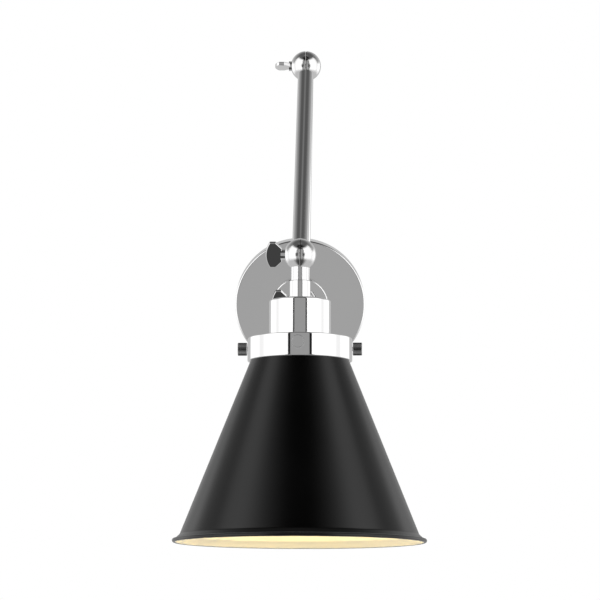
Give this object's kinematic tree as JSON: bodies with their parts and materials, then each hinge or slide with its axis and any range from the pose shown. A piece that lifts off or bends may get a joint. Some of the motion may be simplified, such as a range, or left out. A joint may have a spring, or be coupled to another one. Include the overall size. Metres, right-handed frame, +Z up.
{
  "type": "swing arm wall sconce",
  "caption": "Wall sconce with a round plate, a jointed swing arm on split-ball knuckles with thumb screws, and a tilting cone shade held by a screwed gallery ring.",
  "frame": {"origin": "centre of the wall plate's back face, on the wall, midway between the two box screw holes", "axes": "+Z up, +Y into the wall, -Y out into the room, +X to the right facing the wall"},
  "size_m": [0.221, 0.4618, 0.4483],
  "materials": {
    "nickel": "polished nickel",
    "steel": "zinc plated",
    "brass": "plain",
    "fibre": "matt",
    "lead_cover": "matt",
    "shade_paint": "satin black outside, cream white inside",
    "porcelain": "glazed",
    "bulb_glass": "frosted, lit"
  },
  "bodies": {
    "wall_base": {"wall_plate": "nickel", "mounting_bracket": "steel", "plate_side_screws": "nickel", "ground_screw": "brass", "centre_boss": "nickel", "boss_ring_nut": "steel"},
    "arm_swivel": {"swivel_hub": "nickel", "swivel_spring_washer": "steel", "swivel_locknut": "steel", "supply_leads": "lead_cover", "rear_ball_wall_half": "nickel", "rear_seat_washer": "nickel"},
    "lower_arm": {"rear_ball_arm_half": "nickel", "rear_friction_disc": "fibre", "lower_arm_tube": "nickel", "lower_arm_leads": "lead_cover", "elbow_ball_lower_half": "nickel", "elbow_seat_washer": "nickel"},
    "upper_arm": {"elbow_ball_upper_half": "nickel", "elbow_friction_disc": "fibre", "upper_arm_tube": "nickel", "upper_arm_leads": "lead_cover", "head_ball_arm_half": "nickel", "head_friction_disc": "fibre"},
    "head": {"head_ball_stem_half": "nickel", "head_seat_washer": "nickel", "head_collar": "nickel", "socket_cup": "nickel", "cup_locknut": "steel", "holder_leads": "lead_cover", "gallery_ring": "nickel", "holder_ring_nut": "fibre", "lamp_holder": "porcelain", "lamp_screw_shell": "brass", "lamp_centre_contact": "brass", "bulb_base": "brass", "bulb_glass": "bulb_glass", "cone_shade": "shade_paint"},
    "rear_knob": {"rear_thumb_screw": "nickel"},
    "elbow_knob": {"elbow_thumb_screw": "nickel"},
    "head_knob": {"head_thumb_screw": "nickel"},
    "gallery_screw_right": {"gallery_screw_right": "nickel"},
    "gallery_screw_front": {"gallery_screw_front": "nickel"},
    "gallery_screw_left": {"gallery_screw_left": "nickel"},
    "gallery_screw_back": {"gallery_screw_back": "nickel"}
  },
  "joints": [
    {"name": "arm_swing", "type": "hinge", "parent": "wall_base", "child": "arm_swivel", "pos_m": [0, 0, 0], "axis": [0, -1, 0], "range_deg": [-90, 90]},
    {"name": "rear_knuckle", "type": "hinge", "parent": "arm_swivel", "child": "lower_arm", "pos_m": [0.0018, -0.055, 0.0074], "axis": [1, 0, 0], "range_deg": [-20, 75]},
    {"name": "elbow_knuckle", "type": "hinge", "parent": "lower_arm", "child": "upper_arm", "pos_m": [0.005, -0.11217, 0.23841], "axis": [1, 0, 0], "range_deg": [-140, 1]},
    {"name": "head_knuckle", "type": "hinge", "parent": "upper_arm", "child": "head", "pos_m": [0, -0.2876, 0.07766], "axis": [1, 0, 0], "range_deg": [-110, 30]},
    {"name": "rear_knob_turn", "type": "hinge", "parent": "lower_arm", "child": "rear_knob", "pos_m": [0.0018, -0.055, 0.0074], "axis": [-1, 0, 0], "range_deg": [0, 360]},
    {"name": "elbow_knob_turn", "type": "hinge", "parent": "upper_arm", "child": "elbow_knob", "pos_m": [0.005, -0.11217, 0.23841], "axis": [-1, 0, 0], "range_deg": [0, 360]},
    {"name": "head_knob_turn", "type": "hinge", "parent": "upper_arm", "child": "head_knob", "pos_m": [0, -0.2876, 0.07766], "axis": [-1, 0, 0], "range_deg": [0, 360]},
    {"name": "gallery_screw_right_turn", "type": "hinge", "parent": "head", "child": "gallery_screw_right", "pos_m": [0, -0.31024, -0.00344], "axis": [0.9994, -0.0336, 0.0094], "range_deg": [0, 360]},
    {"name": "gallery_screw_front_turn", "type": "hinge", "parent": "head", "child": "gallery_screw_front", "pos_m": [0, -0.31024, -0.00344], "axis": [-0.0349, -0.9626, 0.2688], "range_deg": [0, 360]},
    {"name": "gallery_screw_left_turn", "type": "hinge", "parent": "head", "child": "gallery_screw_left", "pos_m": [0, -0.31024, -0.00344], "axis": [-0.9994, 0.0336, -0.0094], "range_deg": [0, 360]},
    {"name": "gallery_screw_back_turn", "type": "hinge", "parent": "head", "child": "gallery_screw_back", "pos_m": [0, -0.31024, -0.00344], "axis": [0.0349, 0.9626, -0.2688], "range_deg": [0, 360]}
  ]
}
